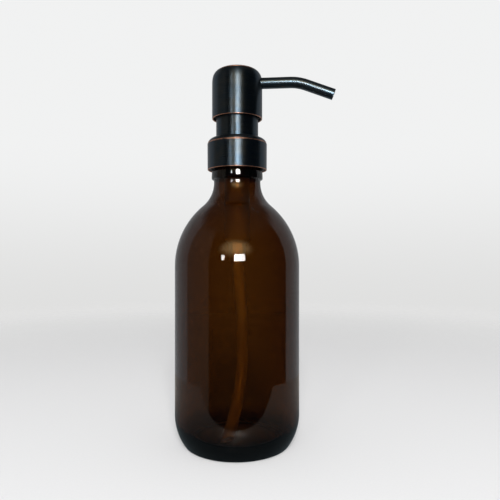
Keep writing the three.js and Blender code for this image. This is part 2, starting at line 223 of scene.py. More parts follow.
def surface(name, rings, looped=True, wear=None):
    """A closed mesh through rings of points in millimetres. A ring of one point closes the surface there."""
    points = [Vector(p) * MM for ring in rings for p in ring]
    firsts = [0]
    for ring in rings:
        firsts.append(firsts[-1] + len(ring))
    faces = []
    pairs = len(rings) if looped else len(rings) - 1
    for i in range(pairs):
        j = (i + 1) % len(rings)
        count = max(len(rings[i]), len(rings[j]))
        for k in range(count):
            n = (k + 1) % count
            if len(rings[i]) == 1:
                faces.append((firsts[i], firsts[j] + n, firsts[j] + k))
            elif len(rings[j]) == 1:
                faces.append((firsts[i] + k, firsts[i] + n, firsts[j]))
            else:
                faces.append((firsts[i] + k, firsts[i] + n, firsts[j] + n, firsts[j] + k))
    mesh = bpy.data.meshes.new(name)
    mesh.from_pydata(points, [], faces)
    if wear:
        layer = mesh.attributes.new("wear", "FLOAT", "POINT")
        values = [w for w, ring in zip(wear, rings) for _ in ring]
        layer.data.foreach_set("value", values)
    mesh.shade_smooth()
    mesh.set_sharp_from_angle(angle=SHARP_ANGLE)
    piece = bpy.data.objects.new(name, mesh)
    bpy.context.scene.collection.objects.link(piece)
    return piece


def edge_wear(profile, looped):
    """How much each point of an outline is rubbed: 1 on a tight outer edge, 0 on a flat or a hollow."""
    values = []
    for i, p in enumerate(profile):
        if not looped and i in (0, len(profile) - 1):
            values.append(0.0)
            continue
        incoming = Vector(p) - Vector(profile[i - 1])
        outgoing = Vector(profile[(i + 1) % len(profile)]) - Vector(p)
        turn = math.atan2(incoming.cross(outgoing), incoming.dot(outgoing))
        curvature = turn / (0.5 * (incoming.length + outgoing.length) + 1e-6)
        values.append(min(max((curvature - 0.7) / 1.3, 0.0), 1.0))
    return values


def turned(name, profile, relief=None, looped=True, sides=SIDES, rubbed=()):
    """A turned piece. relief(angle, r, z) gives the radius where a thread or a mark changes it.
    rubbed lists (height, width) where the metal is worn although the outline has no sharp edge."""
    rings = []
    for r, z in profile:
        if r < 1e-6:
            rings.append([(0, 0, z)])
            continue
        ring = []
        for k in range(sides):
            angle = 2 * math.pi * k / sides
            reach = relief(angle, r, z) if relief else r
            ring.append((reach * math.cos(angle), reach * math.sin(angle), z))
        rings.append(ring)
    wear = edge_wear(profile, looped)
    for height, width in rubbed:
        for i, (r, z) in enumerate(profile):
            wear[i] = max(wear[i], 1 - min(abs(z - height) / width, 1))
    return surface(name, rings, looped, wear)


def swept(name, path, stations, sides=48, slant=None):
    """A tube. path(s) gives the centre and direction at a distance, and stations lists (distance, radius).
    slant(s) is how steeply a ring leans back, which cuts an end off at an angle."""
    rings = []
    widest = max(r for _, r in stations)
    for s, r in stations:
        centre, ahead = path(s)
        side = ahead.cross(Vector((0, 1, 0))).normalized()
        across = ahead.cross(side).normalized()
        ring = []
        for k in range(sides):
            angle = 2 * math.pi * k / sides
            back = slant(s) * (widest + r * math.cos(angle)) if slant else 0.0
            ring.append(centre + r * (math.cos(angle) * side + math.sin(angle) * across) - back * ahead)
        rings.append(ring)
    return surface(name, rings)


def tube_stations(length, r, wall, step, lip=0.12):
    """Stations for a tube's outside, its rounded end, its inside and its other end."""
    steps = max(2, round(length / step))
    along = [lip + (length - 2 * lip) * i / steps for i in range(steps + 1)]
    quarter = [math.pi / 2 * i / 4 for i in range(5)]
    outer, inner, end = r - lip, r - wall + lip, length - lip
    outside = [(s, r) for s in along]
    tip_out = [(end + lip * math.sin(a), outer + lip * math.cos(a)) for a in quarter[1:]]
    tip_in = [(end + lip * math.cos(a), inner - lip * math.sin(a)) for a in quarter[:-1]]
    inside = [(s, r - wall) for s in reversed(along)]
    root_in = [(lip - lip * math.sin(a), inner - lip * math.cos(a)) for a in quarter[1:]]
    root_out = [(lip - lip * math.cos(a), outer + lip * math.sin(a)) for a in quarter[:-1]]
    return outside + tip_out + tip_in + inside + root_in + root_out


def place(piece, body, slot, material, *nodes):
    """Puts a finished piece on its body, in place of the CAD nodes it stands for."""
    piece.data.materials.append(material)
    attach(piece, body)
    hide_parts(*nodes)
    return piece


# ---------- materials ----------


def new_material(name):
    """A material, its node tree and its surface shader."""
    material = bpy.data.materials.new(name)
    material.use_nodes = True
    return material, material.node_tree, material.node_tree.nodes["Principled BSDF"]


def add(tree, kind, settings=None, **inputs):
    """A shader node with its settings and its inputs. An input goes in by its name, or by its number
    as i0, i1 and so on, and it is a value or another node's socket."""
    node = tree.nodes.new(kind)
    for key, value in (settings or {}).items():
        setattr(node, key, value)
    for key, value in inputs.items():
        socket = node.inputs[int(key[1:])] if key[0] == "i" and key[1:].isdigit() else node.inputs[key]
        if isinstance(value, bpy.types.NodeSocket):
            tree.links.new(value, socket)
        else:
            socket.default_value = value
    return node


def math_node(tree, operation, a, b=0.0, clamp=False):
    return add(tree, "ShaderNodeMath", {"operation": operation, "use_clamp": clamp}, i0=a, i1=b).outputs[0]


def stretched_noise(tree, stretch, detail=4.0, roughness=0.55):
    """Noise in the piece's own space. stretch is the number of cells to a metre along x, y and z."""
    where = add(tree, "ShaderNodeTexCoord").outputs["Object"]
    scaled = add(tree, "ShaderNodeMapping", i0=where, Scale=stretch).outputs[0]
    noise = add(tree, "ShaderNodeTexNoise", Vector=scaled, Scale=1.0, Detail=detail, Roughness=roughness)
    return noise.outputs["Fac"]


def mixed(tree, share, a, b):
    """One colour turning into another by a share."""
    mix = add(tree, "ShaderNodeMix", {"data_type": "RGBA"}, i0=share, i6=a, i7=b)
    return mix.outputs[2]


def ranged(tree, value, low, high, to_low, to_high):
    """A value eased from one range to another."""
    node = add(tree, "ShaderNodeMapRange", {"interpolation_type": "SMOOTHSTEP"}, Value=value)
    for key, number in zip(("From Min", "From Max", "To Min", "To Max"), (low, high, to_low, to_high)):
        node.inputs[key].default_value = number
    return node.outputs[0]


def bumped(tree, shader, height, strength, distance):
    """distance is the height of the relief in metres."""
    bump = add(tree, "ShaderNodeBump", Height=height, Strength=strength, Distance=distance)
    tree.links.new(bump.outputs[0], shader.inputs["Normal"])


def bronze(name, tones, roughness, brushing, anisotropy):
    """Oil-rubbed bronze: a patina between two dark tones, with finely brushed turning marks, rubbed to
    copper on the edges."""
    material, tree, shader = new_material(name)
    marks = stretched_noise(tree, (140, 140, 2600), detail=5, roughness=0.7)
    patina = stretched_noise(tree, (160, 160, 160), detail=3)
    scuffs = stretched_noise(tree, (700, 700, 1500), detail=2)
    dark = mixed(tree, ranged(tree, patina, 0.35, 0.65, 0, 1), *tones)
    streaked = mixed(tree, ranged(tree, marks, 0.35, 0.75, 0, brushing * 0.5), dark, BRUSH_GREY)
    wear = add(tree, "ShaderNodeAttribute", {"attribute_name": "wear"}).outputs["Fac"]
    broken = math_node(tree, "MULTIPLY", wear, ranged(tree, scuffs, 0.25, 0.6, 0.35, 1.0))
    copper = ranged(tree, broken, 0.12, 0.7, 0, 1)
    tree.links.new(mixed(tree, copper, streaked, COPPER), shader.inputs["Base Color"])
    shader.inputs["Metallic"].default_value = 1.0
    spread = ranged(tree, marks, 0.2, 0.8, roughness - 0.07 * brushing, roughness + 0.1 * brushing)
    rubbed_spread = math_node(tree, "MULTIPLY", copper, 0.22)
    tree.links.new(math_node(tree, "ADD", spread, rubbed_spread), shader.inputs["Roughness"])
    shader.inputs["Anisotropic"].default_value = anisotropy
    if anisotropy:
        shader.inputs["Anisotropic Rotation"].default_value = 0.25
        tangent = add(tree, "ShaderNodeTangent", {"direction_type": "RADIAL", "axis": "Z"})
        tree.links.new(tangent.outputs[0], shader.inputs["Tangent"])
    if brushing:
        bumped(tree, shader, marks, 0.35 * brushing, 0.00002)
    return material


def amber_glass():
    """Clear amber glass. The colour comes from the thickness of glass that light goes through."""
    material, tree, shader = new_material("amber_glass")
    shader.inputs["Base Color"].default_value = (1, 1, 1, 1)
    shader.inputs["Transmission Weight"].default_value = 1.0
    shader.inputs["IOR"].default_value = 1.52
    shader.inputs["Roughness"].default_value = 0.0
    ripples = stretched_noise(tree, (90, 90, 16), detail=1)
    bumped(tree, shader, ripples, 0.25, 0.0004)
    absorb = add(tree, "ShaderNodeVolumeAbsorption", Color=(0.587, 0.42, 0.01, 1), Density=1530.0)
    tree.links.new(absorb.outputs[0], tree.nodes["Material Output"].inputs["Volume"])
    return material


def plastic(name, colour, roughness=0.4, subsurface=0.0):
    """Moulded plastic, faintly mottled, with a fine grain."""
    material, tree, shader = new_material(name)
    mottle = stretched_noise(tree, (300, 300, 300), detail=3)
    grain = stretched_noise(tree, (5000, 5000, 5000), detail=2)
    darker = tuple(0.86 * c for c in colour) + (1,)
    tree.links.new(mixed(tree, mottle, darker, tuple(colour) + (1,)), shader.inputs["Base Color"])
    spread = ranged(tree, grain, 0.2, 0.8, roughness - 0.06, roughness + 0.08)
    tree.links.new(spread, shader.inputs["Roughness"])
    shader.inputs["Subsurface Weight"].default_value = subsurface
    shader.inputs["Subsurface Radius"].default_value = (1, 0.9, 0.8)
    shader.inputs["Subsurface Scale"].default_value = 0.002
    bumped(tree, shader, grain, 0.2, 0.00003)
    return material


def clear_plastic(name, colour, roughness):
    """Unpigmented polyethylene: cloudy, but things show through it."""
    material, tree, shader = new_material(name)
    cloud = stretched_noise(tree, (400, 400, 120), detail=2)
    darker = tuple(0.9 * c for c in colour) + (1,)
    tree.links.new(mixed(tree, cloud, darker, tuple(colour) + (1,)), shader.inputs["Base Color"])
    spread = ranged(tree, cloud, 0.2, 0.8, roughness - 0.05, roughness + 0.07)
    tree.links.new(spread, shader.inputs["Roughness"])
    shader.inputs["Transmission Weight"].default_value = 0.6
    shader.inputs["IOR"].default_value = 1.5
    bumped(tree, shader, cloud, 0.15, 0.0001)
    return material


def steel(name, colour, roughness, stretch):
    """Bare steel, with drawing or polishing marks."""
    material, tree, shader = new_material(name)
    marks = stretched_noise(tree, stretch, detail=3)
    dull = tuple(0.75 * c for c in colour) + (1,)
    tree.links.new(mixed(tree, marks, dull, tuple(colour) + (1,)), shader.inputs["Base Color"])
    shader.inputs["Metallic"].default_value = 1.0
    spread = ranged(tree, marks, 0.2, 0.8, roughness * 0.7, roughness * 1.4)
    tree.links.new(spread, shader.inputs["Roughness"])
    bumped(tree, shader, marks, 0.1, 0.00002)
    return material


# ---------- bottle ----------


def thread_height(thread, angle, z):
    """How far a screw ridge stands out at an angle and a height, running out softly at both ends."""
    turn = angle / (2 * math.pi)
    laps = round((z - thread["z"]) / PITCH - turn)
    off = z - thread["z"] - PITCH * (laps + turn)
    ends = min(laps + turn - thread["first"], thread["last"] - laps - turn)
    flank = 1 - abs(off) / thread["half_width"]
    if ends <= 0 or flank <= 0:
        return 0.0
    run_out = min(ends / 0.08, 1)
    return thread["height"] * min(flank * 1.9, 1) * run_out * run_out * (3 - 2 * run_out)


def bottle_outline():
    """The outside from the base's middle to the rim, then the inside down to the middle of the floor."""
    shoulder_centre = BODY_R - SHOULDER_R
    fillet_centre = NECK_R + NECK_FILLET_R
    lean = math.acos((fillet_centre - shoulder_centre) / (SHOULDER_R + NECK_FILLET_R))
    fillet_z = SHOULDER_Z + (SHOULDER_R + NECK_FILLET_R) * math.sin(lean)
    turn = math.degrees(lean)
    heel_centre = BODY_R - HEEL_R
    heel_start = math.degrees(math.asin((0.7 - HEEL_Z) / HEEL_R))
    inner_heel_centre = BODY_R - GLASS_WALL - INNER_HEEL_R
    inner_heel_z = FLOOR_Z + INNER_HEEL_R
    inner_fillet = NECK_FILLET_R + GLASS_WALL
    inner_shoulder = SHOULDER_R - GLASS_WALL

    base = [(0, 0.8), (12, 0.8), (19.4, 0.8), (20.9, 0.05), (23, 0), (26.3, 0), (27.3, 0.2)]
    body = arc(heel_centre, HEEL_Z, HEEL_R, HEEL_R, heel_start, 0, 24)
    body += [(BODY_R, HEEL_Z + (SHOULDER_Z - HEEL_Z) * i / 12) for i in range(1, 12)]
    body += arc(shoulder_centre, SHOULDER_Z, SHOULDER_R, SHOULDER_R, 0, turn, 32)
    body += arc(fillet_centre, fillet_z, NECK_FILLET_R, NECK_FILLET_R, 180 + turn, 180, 20)[1:]
    bead = [
        (NECK_R, BEAD_BOTTOM - 0.5),
        (BEAD_R - 0.1, BEAD_BOTTOM - 0.1),
        (BEAD_R, BEAD_BOTTOM + 0.8),
        (BEAD_R - 0.15, BEAD_TOP - 0.4),
        (FINISH_R + 0.3, BEAD_TOP + 0.1),
    ]
    rows = 42
    first, last = BEAD_TOP + 0.7, RIM_Z - 0.5
    finish = [(FINISH_R, first + (last - first) * i / rows) for i in range(rows + 1)]
    rim = [(FINISH_R - 0.3, RIM_Z), (BORE_R + 0.6, RIM_Z), (BORE_R, RIM_Z - 0.9)]
    inside = [(BORE_R, BEAD_BOTTOM + 2)]
    inside += arc(fillet_centre, fillet_z, inner_fillet, inner_fillet, 180, 180 + turn, 20)
    inside += arc(shoulder_centre, SHOULDER_Z, inner_shoulder, inner_shoulder, turn, 0, 32)[1:]
    inner_height = SHOULDER_Z - inner_heel_z
    inside += [(BODY_R - GLASS_WALL, inner_heel_z + inner_height * i / 12) for i in range(11, 0, -1)]
    inside += arc(inner_heel_centre, inner_heel_z, INNER_HEEL_R, INNER_HEEL_R, 0, -90, 18)
    inside += [(14, FLOOR_Z + 0.12), (8, FLOOR_Z + 0.4), (0, FLOOR_Z + 0.6)]
    outline = base + body + bead + finish + rim + inside
    return rounded(outline, radius=0.5, looped=False)


def finish_relief(angle, r, z):
    """The glass thread, which stands out of the neck above the bead."""
    on_wall = abs(r - FINISH_R) < 0.01 and z > BEAD_TOP
    return r + thread_height(GLASS_THREAD, angle, z) if on_wall else r


def make_bottle(glass):
    piece = turned("glass_bottle", bottle_outline(), finish_relief, looped=False)
    return place(piece, "bottle", "glass", glass, "bottle")


# ---------- collar ----------


def make_collar_shell(metal):
    outer_r = COLLAR_R - 0.05
    width, height = outer_r - COLLAR_HOLE_R, COLLAR_TOP - COLLAR_CROWN_Z
    inner_width, inner_height = width - METAL_WALL, height - METAL_WALL
    profile = [
        (outer_r - METAL_WALL, COLLAR_BOTTOM),
        (outer_r - 0.02, COLLAR_BOTTOM),
        (outer_r, COLLAR_BOTTOM + 4),
        (COLLAR_R - 0.01, COLLAR_CROWN_Z - 0.3),
        (COLLAR_R - 0.02, COLLAR_CROWN_Z + 0.3),
        (COLLAR_R - 0.12, COLLAR_CROWN_Z + 0.55),
        (COLLAR_R - 0.25, COLLAR_CROWN_Z + 0.7),
        *arc(COLLAR_HOLE_R, COLLAR_CROWN_Z, width, height, 14, 86, 20),
        (COLLAR_HOLE_R, COLLAR_TOP - 0.02),
        (COLLAR_HOLE_R, COLLAR_TOP - METAL_WALL),
        *arc(COLLAR_HOLE_R, COLLAR_CROWN_Z, inner_width, inner_height, 80, 0, 12),
    ]
    ridge = (COLLAR_CROWN_Z + 0.5, 0.3)
    piece = turned("collar_shell_bronze", rounded(profile, 0.25), rubbed=[ridge])
    return place(piece, "collar", "bronze", metal, "collar_shell")


def insert_relief(angle, r, z):
    """The insert's own ridge, which stands into its bore."""
    on_wall = abs(r - INSERT_ROOT_R) < 0.01
    return r - thread_height(INSERT_THREAD, angle, z) if on_wall else r


def make_collar_insert(black):
    radius, bottom, top = span("collar_insert")
    flange_r, _, flange_top = span("pump_housing")
    rows = 44
    first, last = RIM_Z - 0.6, bottom + 0.4
    wall = [(INSERT_ROOT_R, first + (last - first) * i / rows) for i in range(rows + 1)]
    profile = [
        (INSERT_ROOT_R + 0.3, bottom),
        (radius, bottom),
        (radius, top),
        (COLLAR_HOLE_R, top),
        (COLLAR_HOLE_R, flange_top + 0.2),
        (flange_r + 0.4, flange_top + 0.2),
        (flange_r + 0.4, RIM_Z + 0.1),
        *wall,
    ]
    piece = turned("collar_thread_insert", rounded(profile, 0.2), insert_relief)
    return place(piece, "collar", "black_plastic", black, "collar_insert")


# ---------- barrel and what is fixed in it ----------


def ring_piece(name, node, inner_r, fillet):
    """A plain turned washer that fills its CAD node's box."""
    radius, low, high = span(node)
    return turned(name, rounded([(inner_r, low), (radius, low), (radius, high), (inner_r, high)], fillet))


def make_pump_housing(natural):
    radius, low, high = span("pump_housing")
    profile = [
        (BARREL_BORE_R, high),
        (BARREL_BORE_R, BARREL_FLOOR_Z),
        (INLET_CHAMBER_R, BARREL_FLOOR_Z),
        (INLET_CHAMBER_R, INLET_SEAT_Z + 1.2),
        (INLET_SEAT_R, INLET_SEAT_Z),
        (INLET_SEAT_R, DIP_SOCKET_TOP_Z),
        (DIP_SOCKET_R, DIP_SOCKET_TOP_Z),
        (DIP_SOCKET_R, low),
        (DIP_SOCKET_R + 1, low),
        (DIP_SOCKET_R + 1.3, low + 0.6),
        (DIP_SOCKET_R + 1.3, DIP_SOCKET_TOP_Z - 0.8),
        (BARREL_R - 1, DIP_SOCKET_TOP_Z - 0.4),
        (BARREL_R, INLET_SEAT_Z),
        (BARREL_R, FLANGE_BOTTOM_Z - 0.6),
        (BARREL_R + 0.6, FLANGE_BOTTOM_Z),
        (radius, FLANGE_BOTTOM_Z),
        (radius, high),
    ]
    piece = turned("pump_barrel", rounded(profile, 0.3))
    return place(piece, "pump", "natural_plastic", natural, "pump_housing")


def make_stem_guide(white):
    radius, low, high = span("stem_guide")
    profile = [
        (GUIDE_BORE_R, low),
        (GUIDE_SKIRT_R, low),
        (GUIDE_SKIRT_R, GUIDE_LEDGE_Z),
        (radius, GUIDE_LEDGE_Z),
        (radius, high),
        (GUIDE_CUP_R + 0.2, high),
        (GUIDE_CUP_R, high - 0.3),
        (GUIDE_CUP_R, GUIDE_CUP_FLOOR_Z),
        (GUIDE_BORE_R, GUIDE_CUP_FLOOR_Z),
    ]
    piece = turned("snap_in_guide", rounded(profile, 0.2))
    return place(piece, "pump", "white_plastic", white, "stem_guide")


def make_sleeve(metal):
    inner = SLEEVE_R - METAL_WALL + 0.05
    profile = [(inner, SLEEVE_BOTTOM), (SLEEVE_R, SLEEVE_BOTTOM)]
    profile += [(SLEEVE_R, SLEEVE_TOP), (inner, SLEEVE_TOP)]
    piece = turned("sleeve_bronze", rounded(profile, 0.2))
    return place(piece, "pump", "bronze", metal, "sleeve")


def make_return_spring(wire_steel):
    """The coil: one wire wound along a helix."""
    wire = SPRING_WIRE_R
    coil_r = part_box("return_spring")[1].x / MM - wire
    low, rise = SPRING_LOW + wire, SPRING_HIGH - SPRING_LOW - 2 * wire
    climb = rise / (2 * math.pi * SPRING_TURNS * coil_r)
    steps = round(SPRING_TURNS * 40)
    sides = 14
    centres = []
    rings = []
    for i in range(steps + 1):
        angle = 2 * math.pi * SPRING_TURNS * i / steps
        outward = Vector((math.cos(angle), math.sin(angle), 0))
        centre = coil_r * outward + Vector((0, 0, low + rise * i / steps))
        ahead = Vector((-math.sin(angle), math.cos(angle), climb)).normalized()
        up = ahead.cross(outward).normalized()
        turns = [2 * math.pi * k / sides for k in range(sides)]
        rings.append([centre + wire * (math.cos(a) * outward + math.sin(a) * up) for a in turns])
        centres.append(centre)
    piece = surface("spring_coil", [[centres[0]], *rings, [centres[-1]]], looped=False)
    place(piece, "pump", "spring_steel", wire_steel, "return_spring")
    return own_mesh(piece)


def through(points, s):
    """The place and direction at s along a smooth curve through points, counting one for each point."""
    points = [Vector(p) for p in points]
    points = [2 * points[0] - points[1], *points, 2 * points[-1] - points[-2]]
    k = min(int(s), len(points) - 4)
    t = s - k
    a, b, c, d = points[k : k + 4]
    square = 2 * a - 5 * b + 4 * c - d
    cube = 3 * b - a - 3 * c + d
    centre = 0.5 * (2 * b + (c - a) * t + square * t**2 + cube * t**3)
    ahead = (c - a) + 2 * square * t + 3 * cube * t**2
    return centre, ahead.normalized()


def make_dip_tube(natural):
    """The tube that reaches the bottle's floor. Its foot is cut at an angle, so that it can't seal itself."""
    last = len(DIP_ROUTE) - 1
    stations = tube_stations(last, DIP_R, DIP_WALL, 0.08, lip=0.02)

    def slant(s):
        return DIP_SLANT * max(0.0, s - last + 1) ** 2

    piece = swept("dip_tube_natural", lambda s: through(DIP_ROUTE, s), stations, 40, slant)
    return place(piece, "pump", "natural_plastic", natural, "dip_tube")


def make_ball(name, node, body, material):
    """A check ball, as rings round the z axis."""
    radius, low, high = span(node)
    profile = arc(0, (low + high) / 2, radius, radius, -90, 90, 32)
    profile[0] = (0, low)
    profile[-1] = (0, high)
    return place(turned(name, profile, looped=False, sides=64), body, "ball_steel", material, node)


# ---------- moving pump parts ----------


def make_piston(white):
    radius, low, high = span("piston")
    profile = [
        (PISTON_BORE_R, low + 1),
        (radius - 0.9, low),
        (radius, low),
        (radius - 0.5, low + 2),
        (radius - 0.5, high - 2),
        (radius, high),
        (radius - 0.9, high),
        (PISTON_BORE_R, high - 1),
    ]
    return place(turned("piston_seal", rounded(profile, 0.12)), "plunger", "white_plastic", white, "piston")


def make_piston_rod(white):
    radius, low, high = span("piston_rod")
    profile = [
        (ROD_BORE_R, low),
        (ROD_R + 1, low),
        (ROD_R + 1.4, low + 2.8),
        (radius, low + 2.8),
        (radius, low + 3.9),
        (ROD_R, low + 3.9),
        (ROD_R, high),
        (ROD_BORE_R, high),
    ]
    return place(turned("hollow_rod", rounded(profile, 0.15)), "head", "white_plastic", white, "piston_rod")


def make_stem(white):
    radius, low, high = span("stem")
    profile = [
        (STEM_SOCKET_R, low),
        (radius, low),
        (radius, high),
        (OUTLET_CHAMBER_R, high),
        (OUTLET_CHAMBER_R, OUTLET_SEAT_Z + 0.9),
        (STEM_BORE_R, OUTLET_SEAT_Z),
        (STEM_BORE_R, low + 10.2),
        (STEM_SOCKET_R, low + 9.9),
    ]
    return place(turned("stem_tube", rounded(profile, 0.15)), "head", "white_plastic", white, "stem")


# ---------- head ----------


def spout_path(s):
    """The place and direction at a distance along the spout's centreline."""
    straight = SPOUT_BEND_X - SPOUT_ROOT_X
    if s <= straight:
        return Vector((SPOUT_ROOT_X + s, 0, SPOUT_Z)), Vector((1, 0, 0))
    a = min((s - straight) / SPOUT_BEND_R, SPOUT_BEND_TURN)
    rest = max(s - straight - SPOUT_BEND_R * SPOUT_BEND_TURN, 0)
    ahead = Vector((math.cos(a), 0, -math.sin(a)))
    bend = Vector((SPOUT_BEND_R * math.sin(a), 0, SPOUT_BEND_R * (math.cos(a) - 1)))
    return Vector((SPOUT_BEND_X, 0, SPOUT_Z)) + bend + rest * ahead, ahead


def spout_length():
    reach = SPOUT_TIP_X - SPOUT_BEND_X - SPOUT_BEND_R * math.sin(SPOUT_BEND_TURN)
    return SPOUT_BEND_X - SPOUT_ROOT_X + SPOUT_BEND_R * SPOUT_BEND_TURN + reach / math.cos(SPOUT_BEND_TURN)


def make_spout(metal, white):
    length = spout_length()
    tube = swept("spout_bronze", spout_path, tube_stations(length, SPOUT_R, SPOUT_WALL, 0.8), 64)
    place(tube, "head", "bronze", metal, "spout_tube")
    inside = tube_stations(length - 0.8, LINER_R, LINER_WALL, 0.8)
    liner = swept("spout_inner_tube", spout_path, inside, 48)
    place(liner, "head", "white_plastic", white, "spout_liner")


def cut_with(piece, cutter):
    """Cuts one mesh out of another and throws the cutter away."""
    modifier = piece.modifiers.new("cut", "BOOLEAN")
    modifier.operation = "DIFFERENCE"
    modifier.solver = "EXACT"
    modifier.object = cutter
    depsgraph = bpy.context.evaluated_depsgraph_get()
    cut = bpy.data.meshes.new_from_object(piece.evaluated_get(depsgraph))
    piece.modifiers.remove(modifier)
    piece.data = cut
    bpy.data.objects.remove(cutter)
    piece.data.set_sharp_from_angle(angle=SHARP_ANGLE)
    return piece


def drill(r, start, end, z):
    """A round bar along x, to cut holes with."""
    angles = [2 * math.pi * k / 64 for k in range(64)]
    rings = [[(x, r * math.cos(a), z + r * math.sin(a)) for a in angles] for x in (start, end)]
    return surface("drill", [[(start, 0, z)], *rings, [(end, 0, z)]], looped=False)


def head_crown(r, start_z, top_z, steps):
    """The head's rounded shoulder and its shallow dome, on one squared-off quarter ellipse."""
    points = []
    for i in range(steps):
        a = math.pi / 2 * i / steps
        across, up = math.cos(a) ** HEAD_CROWN_POWER, math.sin(a) ** HEAD_CROWN_POWER
        points.append((r * across, start_z + (top_z - start_z) * up))
    return points + [(0, top_z)]


def make_actuator_shell(metal):
    inner = HEAD_R - METAL_WALL
    inside = head_crown(inner, HEAD_CROWN_Z, HEAD_TOP - METAL_WALL, 24)
    profile = [
        *reversed(inside),
        (inner, HEAD_BOTTOM),
        (HEAD_R - 0.02, HEAD_BOTTOM),
        (HEAD_R, HEAD_BOTTOM + 4),
        *head_crown(HEAD_R, HEAD_CROWN_Z, HEAD_TOP, 48),
    ]
    outline = rounded(profile, 0.2, looped=False)
    piece = turned("head_bronze", outline, looped=False, rubbed=[(HEAD_RUBBED_Z, 0.55)])
    cut_with(piece, drill(SPOUT_R + 0.1, 8, HEAD_R + 2, SPOUT_Z))
    return place(piece, "head", "bronze", metal, "actuator_shell")


def make_actuator_core(black):
    """Keeps the CAD node's shape, which no outside view shows, with a proper finish."""
    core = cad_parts["actuator_core"]
    core.data.materials.clear()
    core.data.materials.append(black)


# ---------- studio ----------


def make_camera():
    data = bpy.data.cameras.new("camera")
    data.lens = FOCAL_LENGTH
    data.sensor_width = 36
    data.clip_start = 0.01
    camera = bpy.data.objects.new("camera", data)
    up = Vector((0, 0, CAMERA_HEIGHT))
    camera.location = (TOWARDS_CAMERA * CAMERA_DISTANCE + RIGHT * CAMERA_RIGHT + up) * MM
    camera.rotation_euler = (math.pi / 2, 0, CAMERA_AZIMUTH)
    bpy.context.scene.collection.objects.link(camera)
    bpy.context.scene.camera = camera


def from_bottle(azimuth, elevation):
    """A direction away from the bottle. azimuth is counted from the camera's side, to the right."""
    turn, lift = math.radians(azimuth), math.radians(elevation)
    level = TOWARDS_CAMERA * math.cos(turn) + RIGHT * math.sin(turn)
    return level * math.cos(lift) + Vector((0, 0, math.sin(lift)))


def area_light(name, azimuth, elevation, distance, size, power, glossy=True):
    """A rectangular lamp that faces the middle of the bottle."""
    data = bpy.data.lights.new(name, "AREA")
    data.shape = "RECTANGLE"
    data.size, data.size_y = size
    data.energy = power
    lamp = bpy.data.objects.new(name, data)
    direction = from_bottle(azimuth, elevation)
    lamp.location = direction * distance + LAMP_AIM
    lamp.rotation_euler = direction.to_track_quat("Z", "Y").to_euler()
    lamp.visible_camera = False
    lamp.visible_glossy = glossy
    bpy.context.scene.collection.objects.link(lamp)


def inner_light():
    """Stands for the daylight that amber glass lets in, which would take Cycles very many samples to find."""
    data = bpy.data.lights.new("light_through_glass", "AREA")
    data.shape = "RECTANGLE"
    data.size, data.size_y = 0.03, 0.07
    data.color = (1, 0.66, 0.3)
    data.energy = 0.006
    lamp = bpy.data.objects.new("light_through_glass", data)
    lamp.location = TOWARDS_CAMERA * 26 * MM + Vector((0, 0, 0.095))
    lamp.rotation_euler = TOWARDS_CAMERA.to_track_quat("Z", "Y").to_euler()
    lamp.visible_camera = False
    lamp.visible_glossy = False
    lamp.visible_transmission = False
    bpy.context.scene.collection.objects.link(lamp)


def soft_card(name, azimuth, elevation, distance, size, colour, strength):
    """A glowing card with soft edges. Only reflections show it."""
    material, tree, shader = new_material(name)
    where = add(tree, "ShaderNodeTexCoord").outputs["Object"]
    to_edge = (2 / size[0], 2 / size[1], 0)
    scaled = add(tree, "ShaderNodeVectorMath", {"operation": "MULTIPLY"}, i0=where, i1=to_edge).outputs[0]
    off_centre = add(tree, "ShaderNodeVectorMath", {"operation": "LENGTH"}, i0=scaled).outputs["Value"]
    shader.inputs["Base Color"].default_value = (0, 0, 0, 1)
    shader.inputs["Emission Color"].default_value = colour
    tree.links.new(ranged(tree, off_centre, 0.1, 1.0, strength, 0), shader.inputs["Emission Strength"])
    half_width, half_height = size[0] / 2, size[1] / 2
    corners = [(-half_width, -half_height, 0), (half_width, -half_height, 0)]
    corners += [(half_width, half_height, 0), (-half_width, half_height, 0)]
    mesh = bpy.data.meshes.new(name)
    mesh.from_pydata(corners, [], [(0, 1, 2, 3)])
    card = bpy.data.objects.new(name, mesh)
    card.data.materials.append(material)
    direction = from_bottle(azimuth, elevation)
    card.location = direction * distance + LAMP_AIM
    card.rotation_euler = direction.to_track_quat("Z", "Y").to_euler()
    bpy.context.scene.collection.objects.link(card)
    show_only_in_reflections(card)


def show_only_in_reflections(piece):
    piece.visible_camera = False
    piece.visible_diffuse = False
    piece.visible_transmission = False
    piece.visible_shadow = False


def disc(name, radius, z, material, cut_at=None):
    """A round sheet facing up. cut_at trims it straight across, that far in front of the axis."""
    points = [Vector((0, 0, z))]
    for k in range(96):
        angle = 2 * math.pi * k / 96
        right, front = radius * math.sin(angle), radius * math.cos(angle)
        if cut_at is not None:
            front = min(front, cut_at)
        points.append(RIGHT * right + TOWARDS_CAMERA * front + Vector((0, 0, z)))
    mesh = bpy.data.meshes.new(name)
    faces = [(0, 1 + k, 1 + (k + 1) % 96) for k in range(96)]
    mesh.from_pydata([p * MM for p in points], [], faces)
    sheet = bpy.data.objects.new(name, mesh)
    sheet.data.materials.append(material)
    bpy.context.scene.collection.objects.link(sheet)
    return sheet


